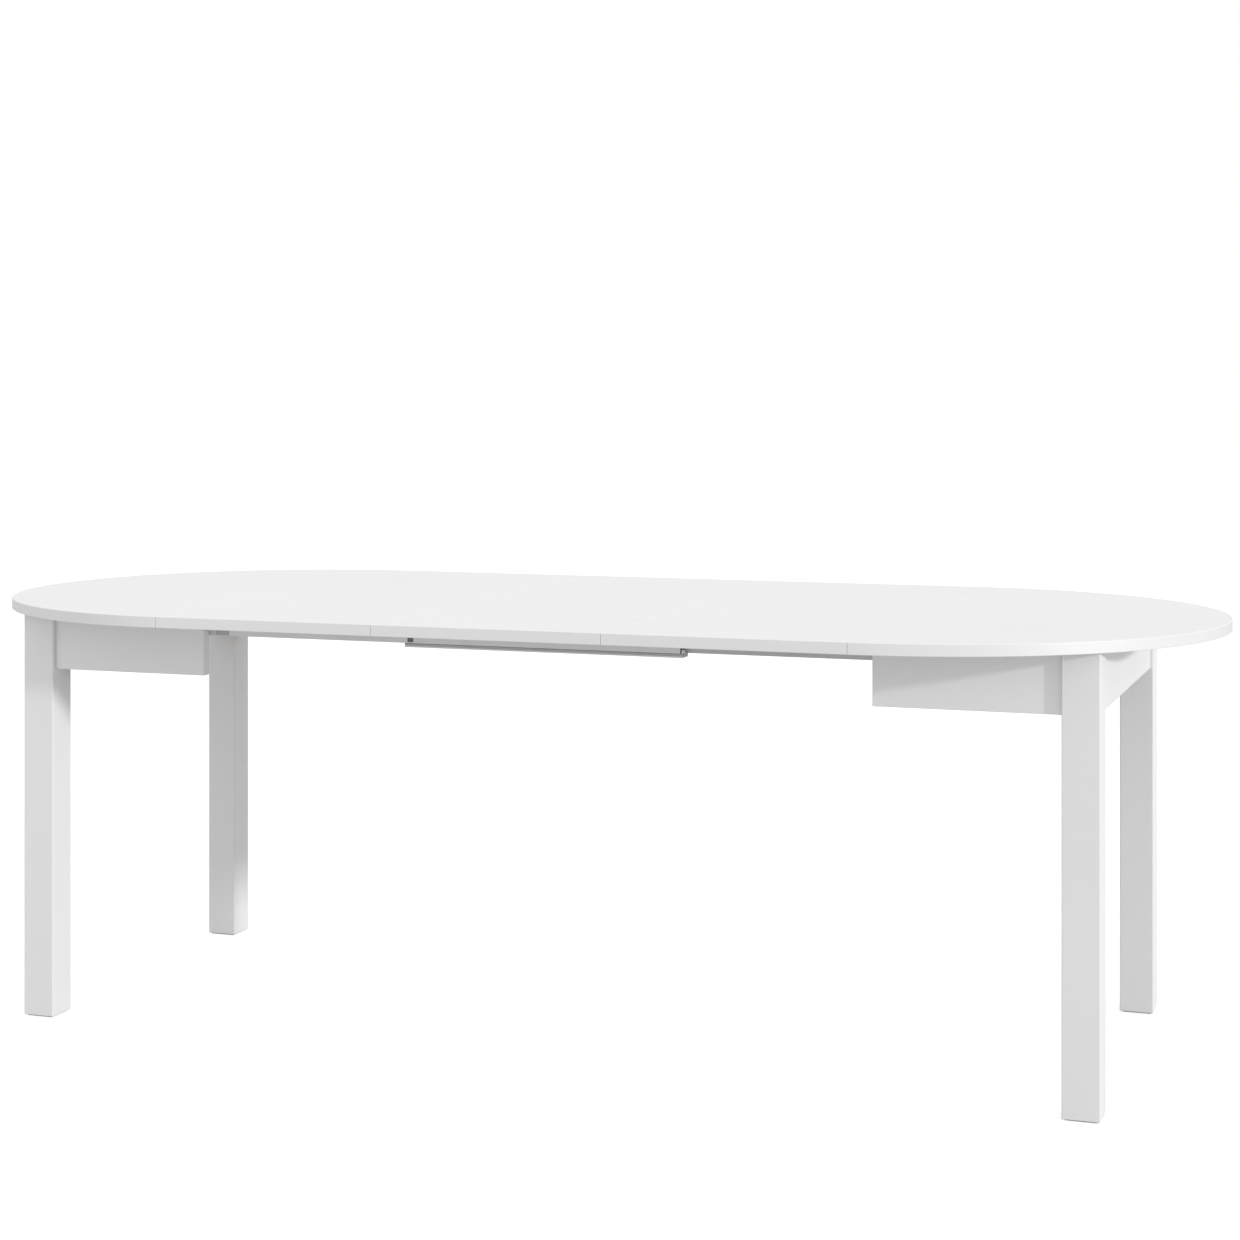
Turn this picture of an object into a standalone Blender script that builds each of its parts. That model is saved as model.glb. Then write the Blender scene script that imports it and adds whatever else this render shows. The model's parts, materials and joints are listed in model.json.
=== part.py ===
"""Extending round dining table, drawn out with its three loose leaves in place.

Two half-round tops stand on a frame each: two square legs, an end apron and two side aprons.
A pair of telescopic aluminium runners joins the halves, and the leaves lie between them.
Metres, +Z up. The origin is on the floor under the middle of the top. +X runs along the table.
"""
import math

import bmesh
import bpy
from mathutils import Matrix, Vector

# Driving dimensions
HEIGHT = 0.745
TOP_RADIUS = 0.525
LEAF_WIDTH = 0.400
LEAF_COUNT = 3
BOARD = 0.019
LEG_SIDE = 0.060
APRON_HEIGHT = 0.100
APRON_BOARD = 0.019

# Fits
GAP = 0.0003
SEAM_GAP = 0.0006
RIM_ROUND = 0.0010
EDGE_ROUND = 0.0015
APRON_ROUND = 0.0008

# Half frames, measured from the centre of each half-round top
LEG_OUT_X = 0.361
LEG_OUT_Y = 0.368
END_APRON_RECESS = 0.005
SIDE_APRON_RECESS = 0.0094
GLIDE_HEIGHT = 0.002
GLIDE_SIDE = 0.052

# Corner braces and the hanger bolts that draw the legs into them
BRACE_HEIGHT = 0.052
BRACE_BOARD = 0.022
BRACE_LIFT = 0.006
BRACE_TO_LEG = 0.012
BRACE_LENGTH = 0.130
BOLT_RADIUS = 0.004
BOLT_IN_LEG = 0.026
NUT_RADIUS = 0.0075
NUT_HEIGHT = 0.0065
WASHER_RADIUS = 0.010
WASHER_HEIGHT = 0.0016

# Telescopic runners
RUNNER_WIDTH = 0.026
RUNNER_DROP = 0.0375
FLANGE = 0.0030
WEB = 0.0024
RAIL_THICK = 0.0110
RAIL_WALL = 0.0015
RAIL_TOP_PLAY = 0.0005
LINER_HEIGHT = 0.0035
MIDDLE_START = -0.223
MIDDLE_LENGTH = 0.501
RAIL_END_FROM_LEG = 0.006
RAIL_END_FROM_STOP = 0.002
STOP_LENGTH = 0.003
PAD_EDGE = 0.0020
PADS = (("seam_pad", -0.5865, 0.0250, 0.0015, "grey_nylon"),
        ("mouth_pad", -0.2173, 0.0103, PAD_EDGE, "black_plastic"))

# Fittings under the top
BLOCK_THICK = 0.040
BLOCK_LENGTH = 0.240
BLOCK_HEIGHT = 0.030
PLATE_LENGTH = 0.060
PLATE_WIDTH = 0.060
PLATE_THICK = 0.0025
PLATE_Y = 0.200
CLEAT_WIDTH = 0.045
CLEAT_THICK = 0.018
CLEAT_LENGTH = 0.560
BRACKET_REACH = 0.030
BRACKET_THICK = 0.002
BRACKET_WIDTH = 0.040
BRACKET_Y = 0.150

RIM_STEPS = 96
ROUND_SIDES = 24

# Worked out from the above
HALF_SPAN = LEAF_WIDTH * LEAF_COUNT / 2
UNDERSIDE = HEIGHT - BOARD
BELOW_TOP = UNDERSIDE - GAP
LEG_X = HALF_SPAN + LEG_OUT_X
LEG_Y = LEG_OUT_Y
APRON_BOTTOM = UNDERSIDE - APRON_HEIGHT
SIDE_APRON_Y = LEG_Y - SIDE_APRON_RECESS
SIDE_APRON_INNER = SIDE_APRON_Y - APRON_BOARD
END_APRON_X = LEG_X - END_APRON_RECESS
END_APRON_INNER = END_APRON_X - APRON_BOARD
RUNNER_OUT = SIDE_APRON_INNER - GAP
RUNNER_IN = RUNNER_OUT - RUNNER_WIDTH
RUNNER_TOP = BELOW_TOP
RUNNER_BOTTOM = UNDERSIDE - RUNNER_DROP - GAP
LINER_TOP = RUNNER_BOTTOM + FLANGE + GAP + LINER_HEIGHT
RAIL_BOTTOM = LINER_TOP + GAP
RAIL_TOP = RUNNER_TOP - FLANGE - RAIL_TOP_PLAY
MIDDLE_END = MIDDLE_START + MIDDLE_LENGTH
RAIL_LIMIT = LEG_X - LEG_SIDE - RAIL_END_FROM_LEG
RAIL_IN = STOP_LENGTH + RAIL_END_FROM_STOP

COLOURS = {
    "white_laminate": ((0.84, 0.84, 0.85), 0.45, 0.0),
    "white_legs": ((0.80, 0.80, 0.81), 0.50, 0.0),
    "aluminium": ((0.62, 0.63, 0.64), 0.35, 1.0),
    "black_plastic": ((0.10, 0.10, 0.102), 0.45, 0.0),
    "grey_nylon": ((0.43, 0.43, 0.435), 0.50, 0.0),
    "beech": ((0.62, 0.44, 0.27), 0.60, 0.0),
    "zinc_steel": ((0.55, 0.56, 0.57), 0.32, 1.0),
    "felt": ((0.58, 0.58, 0.57), 0.95, 0.0),
}


def clear_scene():
    for thing in list(bpy.data.objects):
        bpy.data.objects.remove(thing, do_unlink=True)


def material(slot):
    made = bpy.data.materials.get(slot)
    if made:
        return made
    colour, roughness, metallic = COLOURS[slot]
    made = bpy.data.materials.new(slot)
    made.use_nodes = True
    shader = made.node_tree.nodes["Principled BSDF"]
    shader.inputs["Base Color"].default_value = (*colour, 1.0)
    shader.inputs["Roughness"].default_value = roughness
    shader.inputs["Metallic"].default_value = metallic
    return made


def body(name, x=0.0, y=0.0, z=0.0):
    """An empty that the pieces of one moving body hang from."""
    empty = bpy.data.objects.new(name, None)
    empty.location = (x, y, z)
    bpy.context.scene.collection.objects.link(empty)
    return empty


def finish_mesh(name, shape, slot, parent, place):
    """Turn a bmesh drawn about its own origin into an object whose origin is at place."""
    bmesh.ops.recalc_face_normals(shape, faces=shape.faces)
    mesh = bpy.data.meshes.new(name)
    shape.to_mesh(mesh)
    shape.free()
    mesh.shade_smooth()
    mesh.set_sharp_from_angle(angle=math.radians(30))
    piece = bpy.data.objects.new(name, mesh)
    piece.data.materials.append(material(slot))
    bpy.context.scene.collection.objects.link(piece)
    piece.parent = parent
    piece.location = Vector(place) - parent.location if parent else Vector(place)
    return piece


def round_edges(piece, width, steps=2):
    bevel = piece.modifiers.new("rounded edges", "BEVEL")
    bevel.width = width
    bevel.segments = steps
    bevel.limit_method = "ANGLE"
    bevel.angle_limit = math.radians(40)
    return piece


def block(name, low, high, slot, parent, rounding=0.0):
    """A box between two corners, with its origin at its middle."""
    low, high = Vector(low), Vector(high)
    shape = bmesh.new()
    bmesh.ops.create_cube(shape, size=1.0)
    bmesh.ops.scale(shape, vec=high - low, verts=shape.verts)
    piece = finish_mesh(name, shape, slot, parent, (low + high) / 2)
    return round_edges(piece, rounding) if rounding else piece


def prism_mesh(outline, turn, length):
    """Extrude a closed outline, drawn in X and Y, by length, then turn it."""
    shape = bmesh.new()
    face = shape.faces.new([shape.verts.new((x, y, 0.0)) for x, y in outline])
    grown = bmesh.ops.extrude_face_region(shape, geom=[face])["geom"]
    lifted = [item for item in grown if isinstance(item, bmesh.types.BMVert)]
    bmesh.ops.translate(shape, verts=lifted, vec=(0.0, 0.0, length))
    bmesh.ops.transform(shape, matrix=turn, verts=shape.verts)
    return shape


def cut(piece, cutter):
    """Take the cutter's shape out of the piece."""
    cutter.hide_render = True
    cutter.display_type = "WIRE"
    hole = piece.modifiers.new("cut " + cutter.name, "BOOLEAN")
    hole.operation = "DIFFERENCE"
    hole.solver = "EXACT"
    hole.object = cutter
    return piece


def half_top(name, side, parent):
    """A half-round board whose straight edge lies along the seam."""
    start = SEAM_GAP / 2
    outline = [(start, -TOP_RADIUS)]
    for step in range(RIM_STEPS + 1):
        angle = math.pi * (step / RIM_STEPS - 0.5)
        outline.append((start + TOP_RADIUS * math.cos(angle), TOP_RADIUS * math.sin(angle)))
    outline = [(side * x, y) for x, y in outline[1:]]
    shape = prism_mesh(outline, Matrix.Identity(4), BOARD)
    piece = finish_mesh(name, shape, "white_laminate", parent, (side * HALF_SPAN, 0.0, UNDERSIDE))
    return round_edges(piece, RIM_ROUND)


def leaf(index, parent):
    """One loose leaf: its board, and the cleat that stiffens it between the runners."""
    middle = (index - (LEAF_COUNT + 1) / 2) * LEAF_WIDTH
    reach = (LEAF_WIDTH - SEAM_GAP) / 2
    block(f"leaf_{index}_board", (middle - reach, -TOP_RADIUS, UNDERSIDE),
          (middle + reach, TOP_RADIUS, HEIGHT), "white_laminate", parent, RIM_ROUND)
    block(f"leaf_{index}_cleat", (middle - CLEAT_WIDTH / 2, -CLEAT_LENGTH / 2, BELOW_TOP - CLEAT_THICK),
          (middle + CLEAT_WIDTH / 2, CLEAT_LENGTH / 2, BELOW_TOP), "beech", parent, EDGE_ROUND)


def rod(name, radius, length, turn, place, sides=ROUND_SIDES):
    """A plain round or many-sided rod that starts at place and runs along the turned Z axis."""
    shape = bmesh.new()
    bmesh.ops.create_cone(shape, cap_ends=True, segments=sides, radius1=radius, radius2=radius, depth=length)
    bmesh.ops.translate(shape, verts=shape.verts, vec=(0.0, 0.0, length / 2))
    bmesh.ops.transform(shape, matrix=turn, verts=shape.verts)
    return finish_mesh(name, shape, "zinc_steel", None, place)


def stepped_rod(name, steps, turn, place, parent):
    """A turned fastener: steps are (radius, length, sides) from its free end inwards, in one solid."""
    shape = bmesh.new()
    ring = None
    height = 0.0
    for radius, length, sides in steps:
        loops = []
        for level in (height, height + length):
            loop = []
            for k in range(sides):
                angle = 2 * math.pi * (k + 0.5) / sides
                loop.append(shape.verts.new((radius * math.cos(angle), radius * math.sin(angle), level)))
            loops.append(loop)
        for k in range(sides):
            after = (k + 1) % sides
            shape.faces.new((loops[0][k], loops[0][after], loops[1][after], loops[1][k]))
        if ring is None:
            shape.faces.new(list(reversed(loops[0])))
        else:
            edges = []
            for loop in (ring, loops[0]):
                edges += [shape.edges.get(pair) for pair in zip(loop, loop[1:] + loop[:1])]
            bmesh.ops.bridge_loops(shape, edges=edges)
        ring = loops[1]
        height += length
    shape.faces.new(ring)
    bmesh.ops.transform(shape, matrix=turn, verts=shape.verts)
    return finish_mesh(name, shape, "zinc_steel", parent, place)


def corner(label, x_side, y_side, parent):
    """One corner of a half frame: leg, foot glide, corner brace and hanger bolt."""
    outer = Vector((x_side * LEG_X, y_side * LEG_Y, 0.0))
    inner = outer - Vector((x_side * LEG_SIDE, y_side * LEG_SIDE, 0.0))
    low = Vector((min(outer.x, inner.x), min(outer.y, inner.y), GLIDE_HEIGHT + GAP))
    high = Vector((max(outer.x, inner.x), max(outer.y, inner.y), BELOW_TOP))
    leg = block(f"{label}_leg", low, high, "white_legs", parent, EDGE_ROUND)

    middle = (outer + inner) / 2
    pad = Vector((GLIDE_SIDE / 2, GLIDE_SIDE / 2, 0.0))
    block(f"{label}_glide", middle - pad, middle + pad + Vector((0.0, 0.0, GLIDE_HEIGHT)), "felt", parent)

    # The brace stands square to the diagonal, clear of the leg's inner corner.
    inward = Vector((-x_side, -y_side, 0.0)).normalized()
    across = Vector((-inward.y, inward.x, 0.0))
    height = APRON_BOTTOM + BRACE_LIFT + BRACE_HEIGHT / 2
    face = inner + inward * BRACE_TO_LEG
    centre = face + inward * BRACE_BOARD / 2
    turn = Matrix((inward, across, Vector((0.0, 0.0, 1.0)))).transposed().to_4x4()
    shape = bmesh.new()
    bmesh.ops.create_cube(shape, size=1.0)
    bmesh.ops.scale(shape, vec=(BRACE_BOARD, BRACE_LENGTH, BRACE_HEIGHT), verts=shape.verts)
    bmesh.ops.transform(shape, matrix=turn, verts=shape.verts)
    centre.z = height
    brace = finish_mesh(f"{label}_brace", shape, "beech", parent, centre)

    # Its ends are mitred flush with the aprons' inner faces.
    reach = 2 * BRACE_LENGTH
    trims = (
        (Vector((x_side * (END_APRON_INNER - GAP), 0.0, 0.0)), Vector((x_side, 0.0, 0.0))),
        (Vector((0.0, y_side * (SIDE_APRON_INNER - GAP), 0.0)), Vector((0.0, y_side, 0.0))),
    )
    for number, (plane, outward) in enumerate(trims):
        shape = bmesh.new()
        bmesh.ops.create_cube(shape, size=2 * reach)
        spot = Vector((centre.x, centre.y, height))
        spot += outward * ((plane - spot).dot(outward) + reach)
        cut(brace, finish_mesh(f"{label}_mitre_{number}", shape, "beech", None, spot))

    # The hanger bolt runs from the nut, through the brace, into the leg.
    drill_turn = Matrix((across, Vector((0.0, 0.0, 1.0)), -inward)).transposed().to_4x4()
    if drill_turn.determinant() < 0:
        drill_turn = Matrix((-across, Vector((0.0, 0.0, 1.0)), -inward)).transposed().to_4x4()
    nut_seat = centre + inward * (BRACE_BOARD / 2 + GAP)
    tail = nut_seat + inward * (WASHER_HEIGHT + NUT_HEIGHT + BOLT_RADIUS)
    shank = BRACE_BOARD + GAP + BRACE_TO_LEG + BOLT_IN_LEG
    steps = (
        (BOLT_RADIUS, BOLT_RADIUS, ROUND_SIDES),
        (NUT_RADIUS, NUT_HEIGHT, 6),
        (WASHER_RADIUS, WASHER_HEIGHT, ROUND_SIDES),
        (BOLT_RADIUS, shank, ROUND_SIDES),
    )
    stepped_rod(f"{label}_hanger_bolt", steps, drill_turn, tail, parent)
    drill_length = shank + 2 * GAP + BOLT_RADIUS
    drill = rod(f"{label}_drill", BOLT_RADIUS + GAP, drill_length, drill_turn, nut_seat + inward * BOLT_RADIUS)
    cut(brace, drill)
    cut(leg, drill)


def top_bracket(label, x_side, y_side, parent):
    """An angle bracket that ties the end apron to the top."""
    face = END_APRON_INNER - GAP
    top = BELOW_TOP
    outline = [(face, top), (face, top - BRACKET_REACH), (face - BRACKET_THICK, top - BRACKET_REACH),
               (face - BRACKET_THICK, top - BRACKET_THICK), (face - BRACKET_REACH, top - BRACKET_THICK),
               (face - BRACKET_REACH, top)]
    outline = [(x_side * x, z) for x, z in outline]
    to_world = Matrix(((1, 0, 0), (0, 0, 1), (0, 1, 0))).to_4x4()
    shape = prism_mesh(outline, to_world, BRACKET_WIDTH)
    finish_mesh(f"{label}_top_bracket", shape, "zinc_steel", parent,
                (0.0, y_side * BRACKET_Y - BRACKET_WIDTH / 2, 0.0))


def half_frame(label, x_side, parent):
    """The aprons, corners and seam plates under one half-round top."""
    for row, y_side in (("front", -1), ("back", 1)):
        corner(f"{row}_{label}", x_side, y_side, parent)
        top_bracket(f"{row}_{label}", x_side, y_side, parent)
        near, far = sorted((x_side * HALF_SPAN, x_side * (LEG_X - LEG_SIDE - GAP)))
        low_y, high_y = sorted((y_side * SIDE_APRON_INNER, y_side * SIDE_APRON_Y))
        block(f"{row}_{label}_side_apron", (near, low_y, APRON_BOTTOM), (far, high_y, BELOW_TOP),
              "white_laminate", parent, APRON_ROUND)
        low_x, high_x = (x_side * HALF_SPAN - PLATE_LENGTH / 2, x_side * HALF_SPAN + PLATE_LENGTH / 2)
        plate_y = y_side * PLATE_Y
        block(f"{row}_{label}_seam_plate", (low_x, plate_y - PLATE_WIDTH / 2, BELOW_TOP - PLATE_THICK),
              (high_x, plate_y + PLATE_WIDTH / 2, BELOW_TOP), "zinc_steel", parent)
    low_x, high_x = sorted((x_side * END_APRON_INNER, x_side * END_APRON_X))
    reach = LEG_Y - LEG_SIDE - GAP
    block(f"{label}_end_apron", (low_x, -reach, APRON_BOTTOM), (high_x, reach, BELOW_TOP),
          "white_laminate", parent, APRON_ROUND)


def rail(name, start, end, y_low, y_high, parent):
    """An open-ended rectangular aluminium tube along X."""
    tube = block(name, (start, y_low, RAIL_BOTTOM), (end, y_high, RAIL_TOP), "aluminium", parent)
    hollow = block(name + "_hollow", (start - 0.01, y_low + RAIL_WALL, RAIL_BOTTOM + RAIL_WALL),
                   (end + 0.01, y_high - RAIL_WALL, RAIL_TOP - RAIL_WALL), "aluminium", None)
    return cut(tube, hollow)


def runner(row, y_side, left, middle, right):
    """One telescopic runner: left rail in the outer groove, right rail in the inner groove."""
    def span(out_from, out_to):
        return sorted((y_side * (RUNNER_OUT - out_from), y_side * (RUNNER_OUT - out_to)))

    # The middle member is an H laid on its side: two flanges and the web between them.
    half_web = WEB / 2
    centre = RUNNER_WIDTH / 2
    low, high = RUNNER_BOTTOM, RUNNER_TOP
    one_side = [(centre, low), (centre, low + FLANGE), (half_web, low + FLANGE),
                (half_web, high - FLANGE), (centre, high - FLANGE), (centre, high)]
    outline = one_side + [(-y, z) for y, z in reversed(one_side)]
    to_world = Matrix(((0, 0, 1), (1, 0, 0), (0, 1, 0))).to_4x4()
    shape = prism_mesh(outline, to_world, MIDDLE_LENGTH)
    y_middle = y_side * (RUNNER_OUT - RUNNER_WIDTH / 2)
    finish_mesh(f"{row}_runner_middle", shape, "aluminium", middle, (MIDDLE_START, y_middle, 0.0))

    outer_low, outer_high = span(0.0, RAIL_THICK)
    inner_low, inner_high = span(RUNNER_WIDTH - RAIL_THICK, RUNNER_WIDTH)
    groove = (RUNNER_WIDTH - WEB) / 2
    outer_groove = span(0.0, groove - GAP)
    inner_groove = span(RUNNER_WIDTH - groove + GAP, RUNNER_WIDTH)

    # Nylon strips that the rails slide on, and the stops at the far end of each groove.
    strip_low = RUNNER_BOTTOM + FLANGE + GAP
    stop_low, stop_high = LINER_TOP + GAP, RUNNER_TOP - FLANGE - GAP
    places = (("outer", outer_groove, MIDDLE_END - STOP_LENGTH), ("inner", inner_groove, MIDDLE_START))
    for label, (y_low, y_high), stop_start in places:
        block(f"{row}_runner_{label}_strip", (MIDDLE_START, y_low, strip_low), (MIDDLE_END, y_high, LINER_TOP),
              "grey_nylon", middle)
        block(f"{row}_runner_{label}_stop", (stop_start, y_low, stop_low),
              (stop_start + STOP_LENGTH, y_high, stop_high), "black_plastic", middle)

    # Fixed rails. The left one carries two pads that sit in windows in its outer wall.
    left_rail = rail(f"{row}_left_rail", -RAIL_LIMIT, MIDDLE_END - RAIL_IN, outer_low, outer_high, left)
    pad_high = RAIL_TOP - PAD_EDGE
    wall_low, wall_high = span(0.0, RAIL_WALL)
    for label, start, width, lift, slot in PADS:
        pad_low = RAIL_BOTTOM + lift
        block(f"{row}_left_{label}", (start, wall_low, pad_low), (start + width, wall_high, pad_high),
              slot, left)
        window = block(f"{row}_left_{label}_window", (start - GAP, wall_low - RAIL_WALL / 2, pad_low - GAP),
                       (start + width + GAP, wall_high + RAIL_WALL / 2, pad_high + GAP), "aluminium", None)
        cut(left_rail, window)
    rail(f"{row}_right_rail", MIDDLE_START + RAIL_IN, RAIL_LIMIT, inner_low, inner_high, right)

    # The right rail hangs from a wooden block under the right top.
    y_low, y_high = span(RUNNER_WIDTH + GAP, RUNNER_WIDTH + BLOCK_THICK)
    block_start = HALF_SPAN + (RAIL_LIMIT - HALF_SPAN - BLOCK_LENGTH) / 2
    block(f"{row}_right_rail_block", (block_start, y_low, BELOW_TOP - BLOCK_HEIGHT),
          (block_start + BLOCK_LENGTH, y_high, BELOW_TOP), "beech", right, EDGE_ROUND)


def build():
    clear_scene()
    left = body("left_half")
    right = body("right_half", x=HALF_SPAN)
    half_top("left_top", -1, left)
    half_top("right_top", 1, right)
    half_frame("left", -1, left)
    half_frame("right", 1, right)
    for row, y_side in (("front", -1), ("back", 1)):
        middle = body(f"{row}_runner", y=y_side * (RUNNER_OUT - RUNNER_WIDTH / 2), z=RUNNER_BOTTOM)
        runner(row, y_side, left, middle, right)
    for index in range(1, LEAF_COUNT + 1):
        leaf(index, body(f"leaf_{index}", x=(index - (LEAF_COUNT + 1) / 2) * LEAF_WIDTH, z=UNDERSIDE))


build()
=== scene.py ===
"""Looks for the extending round dining table: white laminate boards, white legs, aluminium runners.

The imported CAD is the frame. Boards, legs, aprons, runners and fittings are remodelled in their places.
Metres, +Z up, +X along the table, the front at -Y.
"""
import json
import math

import bmesh
import bpy
from mathutils import Matrix, Vector

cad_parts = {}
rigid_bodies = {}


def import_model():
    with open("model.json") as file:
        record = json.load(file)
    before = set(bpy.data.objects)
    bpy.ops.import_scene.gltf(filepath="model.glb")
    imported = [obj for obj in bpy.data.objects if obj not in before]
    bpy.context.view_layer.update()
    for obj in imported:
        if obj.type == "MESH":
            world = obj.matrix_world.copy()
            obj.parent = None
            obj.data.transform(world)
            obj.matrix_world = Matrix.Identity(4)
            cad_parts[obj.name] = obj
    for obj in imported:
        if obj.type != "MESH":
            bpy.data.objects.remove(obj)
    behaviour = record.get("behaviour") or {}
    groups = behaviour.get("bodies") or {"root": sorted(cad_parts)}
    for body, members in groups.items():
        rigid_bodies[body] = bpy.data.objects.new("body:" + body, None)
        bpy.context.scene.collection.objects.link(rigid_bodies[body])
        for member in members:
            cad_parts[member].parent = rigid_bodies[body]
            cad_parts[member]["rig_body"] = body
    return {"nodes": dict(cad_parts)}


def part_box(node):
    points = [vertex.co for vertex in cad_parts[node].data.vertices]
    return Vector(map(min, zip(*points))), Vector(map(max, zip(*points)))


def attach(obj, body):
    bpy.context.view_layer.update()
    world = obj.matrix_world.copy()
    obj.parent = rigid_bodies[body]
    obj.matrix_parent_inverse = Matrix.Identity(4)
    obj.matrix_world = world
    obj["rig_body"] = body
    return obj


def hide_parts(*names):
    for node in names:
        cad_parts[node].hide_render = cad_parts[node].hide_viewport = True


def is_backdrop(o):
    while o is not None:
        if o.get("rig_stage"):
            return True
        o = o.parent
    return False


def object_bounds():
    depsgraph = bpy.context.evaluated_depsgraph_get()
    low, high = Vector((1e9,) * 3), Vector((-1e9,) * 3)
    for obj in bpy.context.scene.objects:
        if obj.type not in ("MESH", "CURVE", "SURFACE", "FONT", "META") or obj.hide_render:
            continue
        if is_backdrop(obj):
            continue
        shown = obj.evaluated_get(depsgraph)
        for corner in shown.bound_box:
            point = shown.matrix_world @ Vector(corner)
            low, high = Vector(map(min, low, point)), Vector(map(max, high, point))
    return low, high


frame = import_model()

ROWS = (("front", -1), ("back", 1))
SIDES = (("left", -1), ("right", 1))
LEAVES = (1, 2, 3)

# Camera: two-point perspective, level, so uprights stay parallel
CAMERA_PLACE = (1.47946, -4.08466, 1.1442)
CAMERA_TURN = 0.33683
CAMERA_LENS = 69.445
CAMERA_SENSOR = 36.0
CAMERA_SHIFT_Y = -0.19286

# Light
WORLD_SEEN = 1.0
WORLD_LIGHT = 0.925
KEY_TOWARDS = (3.5, -1.1, 0.98)
KEY_STRENGTH = 1.50
KEY_SPREAD = 3.6
FLOOR_SIZE = 60.0
FLOOR_SEEN = 0.50
FLOOR_GLOW = 0.70
FLOOR_BOUNCE = 0.60

# Board shapes
RIM_ROUND = 0.0010
RIM_STEPS = 4
TOP_STEPS = 256
BAND_FINISH_FROM = 0.0003
BAND_GAP_WIDTH = 0.00020
BAND_GAP_DEPTH = 0.00020
CORNER_ROUND = 0.0004
CORNER_STEPS = 4
SEAM_CRISP = 0.2
BAND = 0.0020
APRON_ROUND = 0.0008
APRON_BAND = 0.0012
LEG_ROUND = 0.0020
LEG_END_ROUND = 0.0010
TINY = 0.00004

# Runner and fittings, sizes as in the CAD
FLANGE = 0.0030
WEB = 0.0024
BRACE_NEAR = 0.012
BRACE_FAR = 0.034
BRACE_HALF = 0.065
BOLT_RADIUS = 0.004
BOLT_IN_LEG = 0.026
BOLT_TAIL = 0.0036
THREAD_ROOT = 0.0034
THREAD_PITCH = 0.00125
NUT_SEAT = 0.0003
NUT_RADIUS = 0.0075
NUT_HEIGHT = 0.0065
WASHER_RADIUS = 0.010
WASHER_HEIGHT = 0.0016
PLATE_CORNER = 0.006
PLATE_SCREW = 0.0036
WOOD_SCREW = 0.0042
TIMBER_ROUND = 0.0015
STOP_BODY = 0.22
STOP_ROUND = 0.0006
PAD_GROOVE = 0.0003
PAD_PITCH = 0.0045
BRACKET_THICK = 0.002
BRACKET_BEND = 0.003
BRACKET_STEPS = 5
CROSS_REACH = 0.55
CROSS_WIDTH = 0.12


def remember_size(label, store={}):
    """Keep the whole object's box, in metres, for both ends of the script."""
    low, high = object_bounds()
    store[label] = {"low": [round(v, 6) for v in low], "high": [round(v, 6) for v in high]}


remember_size("cad")


# ---------------------------------------------------------------- camera, world, lights, floor

def make_camera():
    data = bpy.data.cameras.new("camera")
    data.lens = CAMERA_LENS
    data.sensor_fit = "HORIZONTAL"
    data.sensor_width = CAMERA_SENSOR
    data.shift_y = CAMERA_SHIFT_Y
    data.clip_end = 200.0
    eye = bpy.data.objects.new("camera", data)
    eye.location = CAMERA_PLACE
    eye.rotation_euler = (math.radians(90.0), 0.0, CAMERA_TURN)
    bpy.context.scene.collection.objects.link(eye)
    bpy.context.scene.camera = eye


def make_world():
    """A bright even room: pure white where the camera sees it, a little softer as a light."""
    world = bpy.data.worlds.new("studio")
    bpy.context.scene.world = world
    world.use_nodes = True
    tree = world.node_tree
    tree.nodes.clear()
    out = tree.nodes.new("ShaderNodeOutputWorld")
    seen = tree.nodes.new("ShaderNodeBackground")
    seen.inputs["Color"].default_value = (1.0, 1.0, 1.0, 1.0)
    seen.inputs["Strength"].default_value = WORLD_SEEN
    lit = tree.nodes.new("ShaderNodeBackground")
    lit.inputs["Color"].default_value = (1.0, 1.0, 1.0, 1.0)
    lit.inputs["Strength"].default_value = WORLD_LIGHT
    path = tree.nodes.new("ShaderNodeLightPath")
    mix = tree.nodes.new("ShaderNodeMixShader")
    tree.links.new(path.outputs["Is Camera Ray"], mix.inputs[0])
    tree.links.new(lit.outputs[0], mix.inputs[1])
    tree.links.new(seen.outputs[0], mix.inputs[2])
    tree.links.new(mix.outputs[0], out.inputs["Surface"])


def make_key():
    """One soft, distant lamp, low and to the right of the table's front."""
    towards = Vector(KEY_TOWARDS).normalized()
    data = bpy.data.lights.new("key", "SUN")
    data.energy = KEY_STRENGTH
    data.angle = math.radians(KEY_SPREAD)
    lamp = bpy.data.objects.new("key", data)
    lamp.location = towards * 5.0
    lamp.rotation_euler = towards.to_track_quat("Z", "Y").to_euler()
    bpy.context.scene.collection.objects.link(lamp)


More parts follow.
